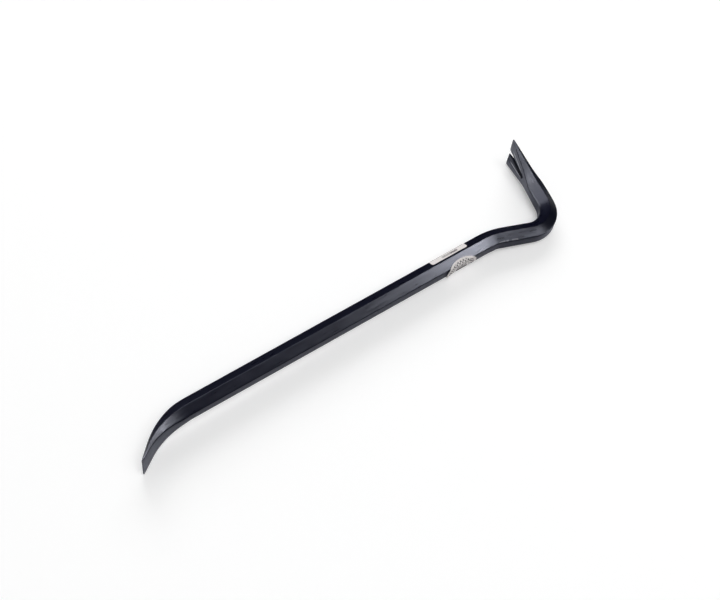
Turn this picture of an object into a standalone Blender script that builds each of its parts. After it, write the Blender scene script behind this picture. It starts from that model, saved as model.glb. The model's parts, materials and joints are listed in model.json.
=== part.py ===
"""Crowbar of about 490 mm, forged from one hexagonal bar.

The bar runs along X. Its bends lie in one plane, which cuts the hexagon through two opposite flats:
the inner flat faces the hook's inside (+Y on the shank) and the outer flat faces away from it. One end
is a curved chisel, and the other a hook that ends in a nail claw. Two paper labels are stuck round the
shank, beside the hook. The finished bar is laid down on the three points that it rests on.
"""

import math

import bmesh
import bpy
from mathutils import Matrix, Vector, geometry

# Bar stock
HEX_ACROSS_FLATS = 0.018
CORNER_RADIUS = 0.0015
CORNER_STEPS = 3
SHANK_LENGTH = 0.332

# Chisel end, measured back from its edge
CHISEL_BEND_RADIUS = 0.0825
CHISEL_BEND_ANGLE = math.radians(38.5)
CHISEL_STRAIGHT = 0.0165
CHISEL_WIDTH = 0.031
CHISEL_EDGE_THICKNESS = 0.0012
CHISEL_BLADE_LENGTH = 0.0237
CHISEL_BLADE_THICKNESS = 0.0066
CHISEL_BLADE_FLAT = 0.0232
CHISEL_TAPER_LENGTH = 0.060

# Neck and hook
NECK_BEND_RADIUS = 0.0755
NECK_BEND_ANGLE = math.radians(19.6)
NECK_LENGTH = 0.028
HOOK_BEND_RADIUS = 0.0238
HOOK_BEND_ANGLE = math.radians(101.4)
CLAW_ARM_LENGTH = 0.0706

# Claw end, measured back from its tip
CLAW_WIDTH = 0.042
CLAW_TIP_THICKNESS = 0.0015
CLAW_BLADE_LENGTH = 0.037
CLAW_BLADE_WIDTH = 0.0323
CLAW_BLADE_THICKNESS = 0.0096
CLAW_BLADE_INNER_FLAT = 0.0157
CLAW_BLADE_OUTER_FLAT = 0.0244
CLAW_SHOULDER_LENGTH = 0.050
CLAW_SHOULDER_WIDTH = 0.0295
CLAW_SHOULDER_THICKNESS = 0.0149
CLAW_SHOULDER_INNER_FLAT = 0.0085
CLAW_SHOULDER_OUTER_FLAT = 0.0187
CLAW_TAPER_LENGTH = 0.073

# The flats lean about the bar's line, from its inside toward +Z, most where the claw's taper starts
CLAW_LEAN = math.radians(11.5)
CLAW_LEAN_LENGTH = 0.095

# Nail slot and the bevel round it, on the claw's inner flat
SLOT_DEPTH = 0.0325
SLOT_MOUTH = 0.0067
SLOT_ROOT_RADIUS = 0.0019
BEVEL_MOUTH = 0.021
BEVEL_ROOT_RADIUS = 0.0036
BEVEL_DEPTH_AT_TIP = 0.0006
BEVEL_DEPTH_AT_ROOT = 0.0030
SLOT_ROOT_STEPS = 10

# Paper labels on the shank
LABEL_THICKNESS = 0.0002
LABEL_CLEARANCE = 0.0003
PLAIN_LABEL_LENGTH = 0.042
PLAIN_LABEL_WIDTH = 0.016
PLAIN_LABEL_ON_SIDE_FACE = 0.0073
PLAIN_LABEL_CORNER_RADIUS = 0.002
PLAIN_LABEL_CORNER_STEPS = 4
PLAIN_LABEL_TO_NECK = 0.0374
OVAL_LABEL_LENGTH = 0.0366
OVAL_LABEL_WIDTH = 0.0254
OVAL_LABEL_ON_SIDE_FACE = 0.0053
OVAL_LABEL_TO_NECK = 0.0307
OVAL_LABEL_STEPS = 48

# How finely the bends and tapers are stepped, and how far a taper's start is rounded out
BEND_STEP = math.radians(6.0)
TAPER_STEP = 0.0035
TAPER_EASE = 0.004
EDGE_LAND = 0.0004

# The hexagon: a side is as long as the radius to its corners
SIXTH = math.radians(60.0)
HEX_RADIUS = HEX_ACROSS_FLATS / math.sqrt(3.0)
FLAT_BETWEEN_CORNERS = HEX_RADIUS - 2.0 * CORNER_RADIUS * math.tan(SIXTH / 2.0)

# Angles of the two corners that carry a label, about the bar from +Y toward +Z
INNER_CORNER = math.radians(30.0)
OUTER_CORNER = math.radians(150.0)

# A label's back follows the rounded corners at its clearance, and repeats at every corner
LABEL_BACK_RADIUS = CORNER_RADIUS + LABEL_CLEARANCE
LABEL_PERIOD = FLAT_BETWEEN_CORNERS + LABEL_BACK_RADIUS * SIXTH


def clear_scene():
    for obj in list(bpy.data.objects):
        bpy.data.objects.remove(obj, do_unlink=True)


def material(name, colour, roughness, metallic=0.0):
    """A plain Principled material."""
    mat = bpy.data.materials.new(name)
    mat.use_nodes = True
    shader = mat.node_tree.nodes["Principled BSDF"]
    shader.inputs["Base Color"].default_value = (*colour, 1.0)
    shader.inputs["Roughness"].default_value = roughness
    shader.inputs["Metallic"].default_value = metallic
    return mat


def add_object(name, bm, mat=None):
    """Turns a bmesh into a named object."""
    mesh = bpy.data.meshes.new(name)
    bm.to_mesh(mesh)
    bm.free()
    obj = bpy.data.objects.new(name, mesh)
    bpy.context.scene.collection.objects.link(obj)
    if mat:
        mesh.materials.append(mat)
        mesh.shade_smooth()
        mesh.set_sharp_from_angle(angle=math.radians(30.0))
    return obj


def loft(rings):
    """A closed bmesh through rings of equally many points, capped at both ends."""
    bm = bmesh.new()
    loops = []
    for ring in rings:
        circle = bmesh.ops.create_circle(bm, segments=len(ring), radius=1.0)
        for vert, point in zip(circle["verts"], ring):
            vert.co = point
        loops.append(circle["verts"])
    for near, far in zip(loops, loops[1:]):
        for i in range(len(near)):
            bm.faces.new((near[i - 1], near[i], far[i], far[i - 1]))
    bm.faces.new(loops[0])
    bm.faces.new(loops[-1])
    bmesh.ops.recalc_face_normals(bm, faces=bm.faces)
    return bm


class Station:
    """A place on the bar's centreline: its distance from the chisel's edge, point and heading."""

    def __init__(self, distance, point, heading):
        self.distance = distance
        self.point = point
        self.heading = heading

    def place(self, inward, across):
        """World point at a distance toward the hook's inside and one across the bar."""
        side = Vector((-math.sin(self.heading), math.cos(self.heading), 0.0))
        return self.point + side * inward + Vector((0.0, 0.0, across))


def centreline():
    """Stations from the chisel's edge to the claw's tip."""
    stations = [Station(0.0, Vector((0.0, 0.0, 0.0)), CHISEL_BEND_ANGLE)]

    def straight(length, steps):
        start = stations[-1]
        along = Vector((math.cos(start.heading), math.sin(start.heading), 0.0))
        for i in range(1, steps + 1):
            run = length * i / steps
            stations.append(Station(start.distance + run, start.point + along * run, start.heading))

    def bend(radius, turn):
        start = stations[-1]
        steps = math.ceil(max(abs(turn) / BEND_STEP, radius * abs(turn) / TAPER_STEP))
        centre = start.place(math.copysign(radius, turn), 0.0)
        for i in range(1, steps + 1):
            angle = turn * i / steps
            point = centre + Matrix.Rotation(angle, 3, "Z") @ (start.point - centre)
            stations.append(Station(start.distance + radius * abs(angle), point, start.heading + angle))

    straight(CHISEL_STRAIGHT, math.ceil(CHISEL_STRAIGHT / TAPER_STEP))
    bend(CHISEL_BEND_RADIUS, -CHISEL_BEND_ANGLE)
    straight(SHANK_LENGTH, 1)
    bend(NECK_BEND_RADIUS, -NECK_BEND_ANGLE)
    straight(NECK_LENGTH, 1)
    bend(HOOK_BEND_RADIUS, HOOK_BEND_ANGLE)
    straight(CLAW_ARM_LENGTH, math.ceil(CLAW_ARM_LENGTH / TAPER_STEP))
    return stations


class Section:
    """A six-sided section: its thickness, width over the side ridges, two flats and lean."""

    def __init__(self, distance, thickness, width, inner_flat, outer_flat, lean=0.0):
        self.distance = distance
        self.sizes = (thickness, width, inner_flat, outer_flat, lean)


def sections(total):
    """The sections that the forging changes between, from the chisel's edge to the claw's tip."""
    hexagon = (HEX_ACROSS_FLATS, 2.0 * HEX_RADIUS, HEX_RADIUS, HEX_RADIUS)
    chisel_flat = CHISEL_WIDTH - 2.0 * EDGE_LAND
    claw_flat = CLAW_WIDTH - 2.0 * EDGE_LAND
    return [
        Section(0.0, CHISEL_EDGE_THICKNESS, CHISEL_WIDTH, chisel_flat, chisel_flat),
        Section(CHISEL_BLADE_LENGTH, CHISEL_BLADE_THICKNESS, CHISEL_WIDTH,
                CHISEL_BLADE_FLAT, CHISEL_BLADE_FLAT),
        Section(CHISEL_TAPER_LENGTH, *hexagon),
        Section(total - CLAW_LEAN_LENGTH, *hexagon),
        Section(total - CLAW_TAPER_LENGTH, *hexagon, CLAW_LEAN),
        Section(total - CLAW_SHOULDER_LENGTH, CLAW_SHOULDER_THICKNESS, CLAW_SHOULDER_WIDTH,
                CLAW_SHOULDER_INNER_FLAT, CLAW_SHOULDER_OUTER_FLAT),
        Section(total - CLAW_BLADE_LENGTH, CLAW_BLADE_THICKNESS, CLAW_BLADE_WIDTH,
                CLAW_BLADE_INNER_FLAT, CLAW_BLADE_OUTER_FLAT),
        Section(total, CLAW_TIP_THICKNESS, CLAW_WIDTH, claw_flat, claw_flat),
    ]


def sizes_between(table, distance):
    """Straight change of the sizes from one section to the next."""
    for near, far in zip(table, table[1:]):
        if distance <= far.distance:
            share = (distance - near.distance) / (far.distance - near.distance)
            return [a + (b - a) * share for a, b in zip(near.sizes, far.sizes)]
    return list(table[-1].sizes)


def sizes_at(table, distance):
    """The section's sizes, with each change of taper rounded out over TAPER_EASE to both sides."""
    reach = min(TAPER_EASE, distance, table[-1].distance - distance)
    samples = [sizes_between(table, distance + reach * i / 4.0) for i in range(-4, 5)]
    return [sum(column) / len(samples) for column in zip(*samples)]


def rounded_section(thickness, width, inner_flat, outer_flat, lean):
    """Points (inward, across) of a six-sided section with rounded corners."""
    half = thickness / 2.0
    corners = [
        Vector((half, inner_flat / 2.0)),
        Vector((0.0, width / 2.0)),
        Vector((-half, outer_flat / 2.0)),
        Vector((-half, -outer_flat / 2.0)),
        Vector((0.0, -width / 2.0)),
        Vector((half, -inner_flat / 2.0)),
    ]
    points = []
    for i, corner in enumerate(corners):
        back = corners[i - 1] - corner
        ahead = corners[(i + 1) % len(corners)] - corner
        half_angle = back.angle(ahead) / 2.0
        room = 0.4 * min(back.length, ahead.length)
        radius = min(CORNER_RADIUS, room * math.tan(half_angle))
        middle = (back.normalized() + ahead.normalized()).normalized()
        centre = corner + middle * radius / math.sin(half_angle)
        sweep = math.pi - 2.0 * half_angle
        for step in range(CORNER_STEPS + 1):
            angle = sweep * (step / CORNER_STEPS - 0.5)
            turned = Matrix.Rotation(angle, 2) @ -middle
            points.append(centre + turned * radius)
    return [Matrix.Rotation(lean, 2) @ point for point in points]


def make_bar(stations, mat):
    """The whole forging, lofted through its sections."""
    table = sections(stations[-1].distance)
    rings = []
    for station in with_marks(stations, [section.distance for section in table[1:-1]]):
        outline = rounded_section(*sizes_at(table, station.distance))
        rings.append([station.place(inward, across) for inward, across in outline])
    return add_object("forged_bar", loft(rings), mat)


def with_marks(stations, marks):
    """The stations, with more on the shank where a taper's rounding starts and ends."""
    extra = []
    for near, far in zip(stations, stations[1:]):
        if near.heading != far.heading:
            continue
        for mark in marks:
            for reach in (-TAPER_EASE, 0.0, TAPER_EASE):
                distance = mark + reach
                inside = near.distance + TAPER_STEP / 4.0 < distance < far.distance - TAPER_STEP / 4.0
                if inside:
                    share = (distance - near.distance) / (far.distance - near.distance)
                    extra.append(Station(distance, near.point.lerp(far.point, share), near.heading))
    return sorted(stations + extra, key=lambda station: station.distance)


def slot_outline(mouth, root_radius, overrun):
    """Points (back from the tip, across) of a V with a round root, run on past the tip."""
    centre = SLOT_DEPTH - SLOT_ROOT_RADIUS
    lean = math.atan2(mouth / 2.0 - root_radius, centre)
    sweep = math.pi / 2.0 - lean
    points = []
    for step in range(SLOT_ROOT_STEPS + 1):
        angle = sweep * (2.0 * step / SLOT_ROOT_STEPS - 1.0)
        points.append((centre + root_radius * math.cos(angle), root_radius * math.sin(angle)))
    end = mouth / 2.0 + overrun * math.tan(lean)
    return [(-overrun, -end)] + points + [(-overrun, end)]


def make_slot_cutter(tip):
    """The nail slot with its bevel, cut square to the claw's inner flat."""
    rise = (CLAW_BLADE_THICKNESS - CLAW_TIP_THICKNESS) / 2.0
    slope = math.atan2(rise, CLAW_BLADE_LENGTH)
    origin = tip.place(CLAW_TIP_THICKNESS / 2.0, 0.0)
    back = Vector((-math.cos(tip.heading), -math.sin(tip.heading), 0.0))
    inward = tip.place(1.0, 0.0) - tip.point
    along = back * math.cos(slope) + inward * math.sin(slope)
    out = inward * math.cos(slope) - back * math.sin(slope)
    overrun = 2.0 * CLAW_TIP_THICKNESS
    slot = slot_outline(SLOT_MOUTH, SLOT_ROOT_RADIUS, overrun)
    flare = slot_outline(BEVEL_MOUTH, BEVEL_ROOT_RADIUS, overrun)

    def point(run, across, height):
        return origin + along * run + out * height + Vector((0.0, 0.0, across))

    def bevel_depth(run):
        share = run / SLOT_DEPTH
        return BEVEL_DEPTH_AT_TIP + (BEVEL_DEPTH_AT_ROOT - BEVEL_DEPTH_AT_TIP) * share

    through = 1.5 * CLAW_BLADE_THICKNESS
    lower = [point(run, across, -through) for run, across in slot]
    land = [point(run, across, -bevel_depth(run)) for run, across in slot]
    face = [point(run, across, 0.0) for run, across in flare]
    above = [start + (end - start) * 1.5 for start, end in zip(land, face)]
    cutter = add_object("slot_cutter", loft([lower, land, above]))
    cutter.hide_render = True
    cutter.display_type = "WIRE"
    return cutter


def cut(target, cutter):
    modifier = target.modifiers.new("slot", "BOOLEAN")
    modifier.operation = "DIFFERENCE"
    modifier.solver = "EXACT"
    modifier.object = cutter


def wrap(run, lift, corner, shank_start):
    """Lays a point of a flat label round the shank.

    run is (along the shank, round it from the given corner), and lift is above the label's back.
    """
    turns = round(run[1] / LABEL_PERIOD)
    rest = run[1] - turns * LABEL_PERIOD
    arc = max(-SIXTH / 2.0, min(SIXTH / 2.0, rest / LABEL_BACK_RADIUS))
    middle = corner + turns * SIXTH
    angle = middle + arc
    corner_centre = HEX_RADIUS - CORNER_RADIUS / math.cos(SIXTH / 2.0)
    centre = Vector((run[0], corner_centre * math.cos(middle), corner_centre * math.sin(middle)))
    outward = Vector((0.0, math.cos(angle), math.sin(angle)))
    onward = Vector((0.0, -math.sin(angle), math.cos(angle)))
    above = outward * (LABEL_BACK_RADIUS + lift) + onward * (rest - arc * LABEL_BACK_RADIUS)
    return shank_start + centre + above


def make_label(name, outline, corner, shank_start, mat):
    """A paper label: its flat outline is thickened, creased where the bar turns, and wrapped."""
    bm = bmesh.new()
    circle = bmesh.ops.create_circle(bm, segments=len(outline), radius=1.0, cap_ends=True)
    for vert, (along, across) in zip(circle["verts"], outline):
        vert.co = (along, across, 0.0)
    raised = bmesh.ops.extrude_face_region(bm, geom=list(bm.faces))["geom"]
    top = [item for item in raised if isinstance(item, bmesh.types.BMVert)]
    bmesh.ops.translate(bm, verts=top, vec=(0.0, 0.0, LABEL_THICKNESS))
    for turns in range(-3, 4):
        for step in range(CORNER_STEPS + 1):
            crease = turns * LABEL_PERIOD + LABEL_BACK_RADIUS * SIXTH * (step / CORNER_STEPS - 0.5)
            bmesh.ops.bisect_plane(bm, geom=bm.verts[:] + bm.edges[:] + bm.faces[:], dist=1e-6,
                                   plane_co=(0.0, crease, 0.0), plane_no=(0.0, 1.0, 0.0))
    bmesh.ops.recalc_face_normals(bm, faces=bm.faces)
    for vert in bm.verts:
        vert.co = wrap((vert.co.x, vert.co.y), vert.co.z, corner, shank_start)
    # Wrapping mirrors the sheet, so its faces are turned back
    bmesh.ops.reverse_faces(bm, faces=bm.faces)
    return add_object(name, bm, mat)


def rounded_rectangle(length, low, high, radius, along):
    """Outline from low to high round the bar, centred at a distance along it."""
    points = []
    for quarter, (side_x, side_y) in enumerate(((1, 1), (-1, 1), (-1, -1), (1, -1))):
        centre_x = along + side_x * (length / 2.0 - radius)
        centre_y = (high - radius) if side_y > 0 else (low + radius)
        for step in range(PLAIN_LABEL_CORNER_STEPS + 1):
            angle = math.radians(90.0) * (quarter + step / PLAIN_LABEL_CORNER_STEPS)
            points.append((centre_x + radius * math.cos(angle), centre_y + radius * math.sin(angle)))
    return points


def ellipse(length, low, high, along):
    points = []
    for step in range(OVAL_LABEL_STEPS):
        angle = math.radians(360.0) * (step + 0.5) / OVAL_LABEL_STEPS
        across = (low + high) / 2.0 + (high - low) / 2.0 * math.sin(angle)
        points.append((along + length / 2.0 * math.cos(angle), across))
    return points


def make_labels(stations, mat):
    """The plain label over the inner corner, and the oval one over the outer corner."""
    shank_start = next(station.point for station in stations if station.heading == 0.0)
    plain_high = PLAIN_LABEL_ON_SIDE_FACE
    plain = rounded_rectangle(PLAIN_LABEL_LENGTH, plain_high - PLAIN_LABEL_WIDTH, plain_high,
                              PLAIN_LABEL_CORNER_RADIUS, SHANK_LENGTH - PLAIN_LABEL_TO_NECK)
    oval_low = -OVAL_LABEL_ON_SIDE_FACE
    oval = ellipse(OVAL_LABEL_LENGTH, oval_low, oval_low + OVAL_LABEL_WIDTH,
                   SHANK_LENGTH - OVAL_LABEL_TO_NECK)
    return [
        make_label("plain_label", plain, INNER_CORNER, shank_start, mat),
        make_label("oval_label", oval, OUTER_CORNER, shank_start, mat),
    ]


def centre_of_mass(bm):
    """Centroid of a closed mesh, summed over tetrahedra from the origin."""
    volume = 0.0
    moment = Vector((0.0, 0.0, 0.0))
    for a, b, c in (tuple(loop.vert.co for loop in tri) for tri in bm.calc_loop_triangles()):
        part = a.dot(b.cross(c))
        volume += part
        moment += part * (a + b + c) / 4.0
    return moment / volume


def lay_down(bar, objects):
    """Turns everything so that the bar lies on the facet of its hull that holds it up, centred over z=0."""
    graph = bpy.context.evaluated_depsgraph_get()
    solid = bmesh.new()
    solid.from_object(bar, graph)
    centre = centre_of_mass(solid)
    points = [vert.co.copy() for vert in solid.verts]
    hull = bmesh.ops.convex_hull(solid, input=solid.verts)["geom"]
    down = Vector((0.0, 0.0, -1.0))
    best = None
    for face in (item for item in hull if isinstance(item, bmesh.types.BMFace)):
        corners = [vert.co for vert in face.verts]
        normal = geometry.normal(corners)
        if normal.dot(corners[0] - centre) < 0.0:
            normal = -normal
        foot = centre + normal * normal.dot(corners[0] - centre)
        holds = geometry.intersect_point_tri(foot, *corners[:3]) is not None
        if holds and (best is None or normal.dot(down) > best.dot(down)):
            best = normal.copy()
    solid.free()
    turn = best.rotation_difference(down).to_matrix()
    turned = [turn @ point for point in points]
    low = [min(point[i] for point in turned) for i in range(3)]
    high = [max(point[i] for point in turned) for i in range(3)]
    base = Vector(((low[0] + high[0]) / 2.0, (low[1] + high[1]) / 2.0, low[2]))
    rest = bpy.data.objects.new("rest_pose", None)
    bpy.context.scene.collection.objects.link(rest)
    rest.matrix_world = Matrix.Translation(-base) @ turn.to_4x4()
    for obj in objects:
        obj.parent = rest


def main():
    clear_scene()
    black_paint = material("black_paint", (0.012, 0.013, 0.017), 0.28)
    paper = material("label_paper", (0.80, 0.76, 0.75), 0.6)
    stations = centreline()
    bar = make_bar(stations, black_paint)
    cutter = make_slot_cutter(stations[-1])
    cut(bar, cutter)
    labels = make_labels(stations, paper)
    lay_down(bar, [bar, cutter, *labels])


main()
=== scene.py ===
"""Crowbar of about 490 mm, forged from one hexagonal bar and painted black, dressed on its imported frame.

The file is laid out as an add-on. Its settings hold the sizes and colours, one operator makes the forged
bar, one the two paper labels and one the stage, and the panel in the 3D view's sidebar lists them.

The bar is modelled flat, with its chisel's edge at the origin, its shank along +X and its bends in the XY
plane, and is then turned to the pose that it lies in.
"""

import json
import math

import bmesh
import bpy
from bpy.props import FloatProperty, FloatVectorProperty, PointerProperty
from mathutils import Matrix, Quaternion, Vector, kdtree, noise


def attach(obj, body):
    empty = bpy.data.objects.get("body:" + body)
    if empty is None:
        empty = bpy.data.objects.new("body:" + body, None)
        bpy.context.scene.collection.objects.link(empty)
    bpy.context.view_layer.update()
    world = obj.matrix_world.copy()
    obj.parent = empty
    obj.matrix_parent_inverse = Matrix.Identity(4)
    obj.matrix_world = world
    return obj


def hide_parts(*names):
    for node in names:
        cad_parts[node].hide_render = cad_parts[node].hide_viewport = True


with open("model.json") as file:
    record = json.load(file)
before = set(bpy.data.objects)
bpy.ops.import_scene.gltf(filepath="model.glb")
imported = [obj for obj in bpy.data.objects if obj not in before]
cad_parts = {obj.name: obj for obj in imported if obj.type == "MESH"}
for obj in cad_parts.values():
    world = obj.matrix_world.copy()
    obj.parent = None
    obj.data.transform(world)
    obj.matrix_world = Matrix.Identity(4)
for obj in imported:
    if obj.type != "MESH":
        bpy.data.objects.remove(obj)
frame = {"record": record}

bl_info = {
    "name": "Crowbar Maker",
    "version": (1, 0, 0),
    "blender": (4, 5, 0),
    "location": "3D View > Sidebar > Crowbar",
    "description": "Makes a forged crowbar in black paint with its paper labels",
    "category": "Add Mesh",
}

BODY = "root"

# The pose that the bar lies in: a turn about an axis in the plane of its bends, then a move
REST_AXIS = Vector((0.992783, 0.119918, 0.0))
REST_ANGLE = math.radians(7.13946)
REST_MOVE = Vector((-0.24503794, -0.05167213, 0.01529388))

# Angle between two neighbouring flats of the hexagon
SIXTH = math.radians(60.0)

# How finely the bar is stepped: along it, round its ridges, its rims and the slot's root, and at a change
# of taper
STRAIGHT_STEP = 0.003
BEND_STEP = math.radians(3.0)
CORNER_SEGMENTS = 4
RIM_SEGMENTS = 3
ROOT_STEPS = 14
EASE_SAMPLES = 8

# Edges sharper than the first angle are softened, and seams flatter than the second are taken out
RIM_ANGLE = math.radians(28.0)
COPLANAR_ANGLE = math.radians(0.02)

# Lengths and angles below this count as none
TINY = 1e-6

# Shares of the corner radius that the six corners have, as rolled and as forged at the two ends
ROLLED_SHARES = (1.0, 0.25, 1.0, 1.0, 1.0, 1.0)
CHISEL_SHARES = (1.0, 0.25, 1.8, 1.0, 1.0, 1.0)
CLAW_SHARES = (2.2, 0.25, 1.0, 1.0, 1.0, 1.0)

# Most of a flat that the rounding beside it may take: at a tip, and from TIP_RUN behind it on
TIP_MOST = 0.05
BAR_MOST = 0.4
TIP_RUN = 0.02

# Rows of the section table where the chisel's taper ends and the claw's starts, and how far from there
# the forged surface fades into the rolled one
CHISEL_END = 2
CLAW_START = 4
CHISEL_FADE = 0.03
CLAW_FADE = (0.085, 0.045)

# Waver of the forged ridges: its pace along the bar, how far apart the ridges' patterns lie, and where it
# sets in, behind the chisel's edge and in front of the claw's tip
WAVER_PACE = 45.0
WAVER_APART = 5.3
WAVER_FROM_EDGE = (0.004, 0.015)
WAVER_FROM_TIP = (0.033, 0.045)

# Corners that the bending former pressed in, the length on which its mark sets in, and the share of the
# mark after which it fades
MARKED_CORNERS = (2, 3)
MARK_RISE = 0.0025
MARK_FULL = 0.4

# How far the slot's cutter goes: on past the tip, in thicknesses of the tip, and on through the claw and
# up out of it, in depths of the claw and of the bevel
CUTTER_OVERRUN = 2.0
CUTTER_REACH = 1.5

# Angles of the two corners that carry a label, about the bar from +Y toward +Z
INNER_CORNER = math.radians(30.0)
OUTER_CORNER = math.radians(150.0)

# How finely the labels are cut, round the bar and along it, and their outlines stepped
SLICES = ((Vector((0.0, 1.0, 0.0)), 0.0003), (Vector((1.0, 0.0, 0.0)), 0.0012))
QUARTER_STEPS = 6
OVAL_POINTS = 96

# Share of the oval label's length on which its loose end curls up, and angle from which an edge is sharp
CURLED_SHARE = 0.28
LABEL_SHARP = math.radians(40.0)

# Printed rows of the rectangular label: height and half width round the bar, start and end along it,
# as shares of the label, and the strength of the ink
RULED_ROWS = (
    (0.575, 0.022, 0.04, 0.96, 0.75),
    (0.78, 0.10, 0.32, 0.55, 0.60),
    (0.78, 0.10, 0.55, 0.75, 0.95),
    (0.34, 0.03, 0.12, 0.80, 0.70),
    (0.22, 0.03, 0.12, 0.60, 0.70),
)

# Print of the oval label, as shares of its half length and half width: where its chequered ring and its
# line start and end, how far its middle goes, bottom, top and half width of each bar, and bottom and top
# of the hatched strip; then the squares of the chequer and the slant of the hatching
OVAL_RING = (0.60, 0.84)
OVAL_LINE = (0.50, 0.53)
OVAL_MIDDLE = 0.46
OVAL_BARS = ((-0.06, 0.14, 0.36), (-0.24, -0.16, 0.30), (0.26, 0.33, 0.26))
OVAL_STRIP = (-0.42, -0.30)
OVAL_SQUARES = (22.0, 13.0)
OVAL_SLANT = (26.0, 14.0)

# Where the painted highlight streaks under the neck start and end, as distances from the chisel's edge,
# and how far in and across they lie
NECK_GLINTS = ((0.4205, 0.4270), (0.4285, 0.4310), (0.4345, 0.4405))
GLINTS_INWARD = (-0.0084, -0.0074)
GLINTS_ACROSS = (0.0053, 0.0080)

# Painted highlight along the rim of the nail's seat, drawn as bright steel: its half width, and where it
# starts, behind the tip and inward
SEAT_WIDTH = 0.0007
SEAT_START = 0.008
SEAT_INWARD = 0.0008

# Scales that draw the forging marks, and the streaks of the rims' wear and painted highlights, out along
# the bar
FORGING_STRETCH = (0.45, 1.0, 1.0)
WEAR_STRETCH = (0.12, 1.0, 1.0)

# Half the floor's width
FLOOR_REACH = 4.0

# Corner points of the dark cards that lie on the floor all round the bar, and their height and tones
FLOOR_CARDS = (
    ((-0.9, -0.9), (-0.19, -0.9), (-0.19, -0.046), (-0.9, -0.22)),
    ((-0.19, -0.9), (0.02, -0.9), (0.02, -0.05), (-0.19, -0.046)),
    ((0.02, -0.9), (0.31, -0.9), (0.31, -0.075), (0.02, -0.075)),
    ((-0.9, -0.22), (-0.29, -0.07), (-0.29, 0.03), (-0.9, 0.03)),
    ((-0.9, 0.03), (0.19, 0.03), (0.19, 0.9), (-0.9, 0.9)),
    ((0.19, 0.02), (0.215, 0.02), (0.215, 0.9), (0.19, 0.9)),
    ((0.215, 0.095), (0.31, 0.095), (0.31, 0.9), (0.215, 0.9)),
    ((0.31, -0.9), (0.9, -0.9), (0.9, 0.9), (0.31, 0.9)),
)
DARK_HEIGHT = 0.0002
DARK_TONES = ((0.006, 0.006, 0.008), (0.016, 0.016, 0.018))

# Corner points of the white cards, under the shank and under the claw, and the light that each gives of
# itself; then their height and tones
WHITE_CARDS = {
    "shank_card": (((-0.29, -0.075), (0.25, -0.075), (0.25, 0.0), (-0.29, 0.0)), 0.045),
    "claw_card": (((0.20, 0.0), (0.31, 0.0), (0.31, 0.095), (0.20, 0.095)), 0.35),
}
WHITE_HEIGHT = 0.0001
WHITE_TONES = ((0.82, 0.85, 0.98), (0.88, 0.90, 1.0))

# The dark card that stands round the bar: its pieces, radius and height, how much higher it is behind the
# bar, and the directions between which it rises and falls, in radians
WALL_PIECES = 96
WALL_RADIUS = 1.3
WALL_HEIGHT = 0.57
WALL_RISE = 0.25
WALL_UP = (-0.2, -0.1)
WALL_DOWN = (1.75, 1.85)

# Lamps that the paint mirrors: place, azimuth, elevation and roll in degrees, width, height and radiance
MIRRORED_LAMPS = {
    "strip_right": ((0.532, -0.458, 0.347), 49.9, 19.7, -109.7, 0.06, 1.071, 185.0),
    "panel_above": ((-0.2, 0.115, 0.4), 146.0, 76.8, 0.0, 0.4, 0.99, 6.64),
    "panel_left": ((-0.543, 0.581, 0.16), 180.0, 0.0, 0.0, 0.236, 0.318, 24.2),
    "panel_right": ((0.67, -0.69, 0.09), -36.0, 3.0, 0.0, 0.5, 0.16, 15.0),
}

# Lamps that light the scene evenly: distance, azimuth and elevation in degrees, width, height and level
EVEN_LAMPS = {
    "lamp_behind": (5.2, 55.0, 27.0, 4.8, 2.1, 0.31),
    "lamp_above": (6.4, -90.0, 65.0, 4.0, 4.0, 0.45),
}

# The camera's place, and its turn in degrees
CAMERA_PLACE = (-0.439252, -0.664159, 1.144477)
CAMERA_TURN = (35.1568, -0.1567, -34.6097)

WHITE = (1.0, 1.0, 1.0)


def packed_colour(slot):
    """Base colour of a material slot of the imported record."""
    return next(entry["base_color"] for entry in frame["record"]["materials"] if entry["slot"] == slot)


def length(name, description, default):
    return FloatProperty(name=name, description=description, default=default, min=0.0,
                         precision=5, subtype="DISTANCE", unit="LENGTH")


def turn(name, description, degrees):
    return FloatProperty(name=name, description=description, default=math.radians(degrees),
                         precision=4, subtype="ANGLE", unit="ROTATION")


def share(name, description, default):
    return FloatProperty(name=name, description=description, default=default, min=0.0, max=1.0,
                         precision=4, subtype="FACTOR")


def colour(name, description, default):
    return FloatVectorProperty(name=name, description=description, default=default, min=0.0, max=1.0,
                               size=3, subtype="COLOR")


class StockSettings(bpy.types.PropertyGroup):
    """The hexagonal bar that the tool is forged from."""

    across_flats: length("Across flats", "Width of the hexagon between opposite flats", 0.018)
    corner_radius: length("Corner radius", "Radius of the hexagon's rolled corners", 0.0015)
    shank: length("Shank", "Straight length between the chisel's bend and the neck's", 0.332)
    rim: length("Rim", "Width of the softened edges at the tips and round the slot", 0.0003)
    ease: length("Ease", "How far a change of taper is rounded out to both sides", 0.004)
    waver: length("Waver", "How far a forged ridge strays from its true line", 0.00006)


class ChiselSettings(bpy.types.PropertyGroup):
    """The curved chisel end, measured back from its edge."""

    bend_radius: length("Bend radius", "Radius of the bend's centreline", 0.0825)
    bend_angle: turn("Bend angle", "How far the chisel is bent from the shank", 38.5)
    straight: length("Straight", "Straight length in front of the bend", 0.0165)
    width: length("Width", "Width at the edge", 0.031)
    edge: length("Edge", "Thickness at the edge", 0.0012)
    land: length("Land", "How far the side ridge stands past the flats at both tips", 0.0004)
    blade_length: length("Blade length", "From the edge to where the blade ends", 0.0237)
    blade_thickness: length("Blade thickness", "Thickness where the blade ends", 0.0066)
    blade_flat: length("Blade flat", "Width of the flats where the blade ends", 0.0232)
    taper_length: length("Taper length", "From the edge to the full hexagon", 0.060)


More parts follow.
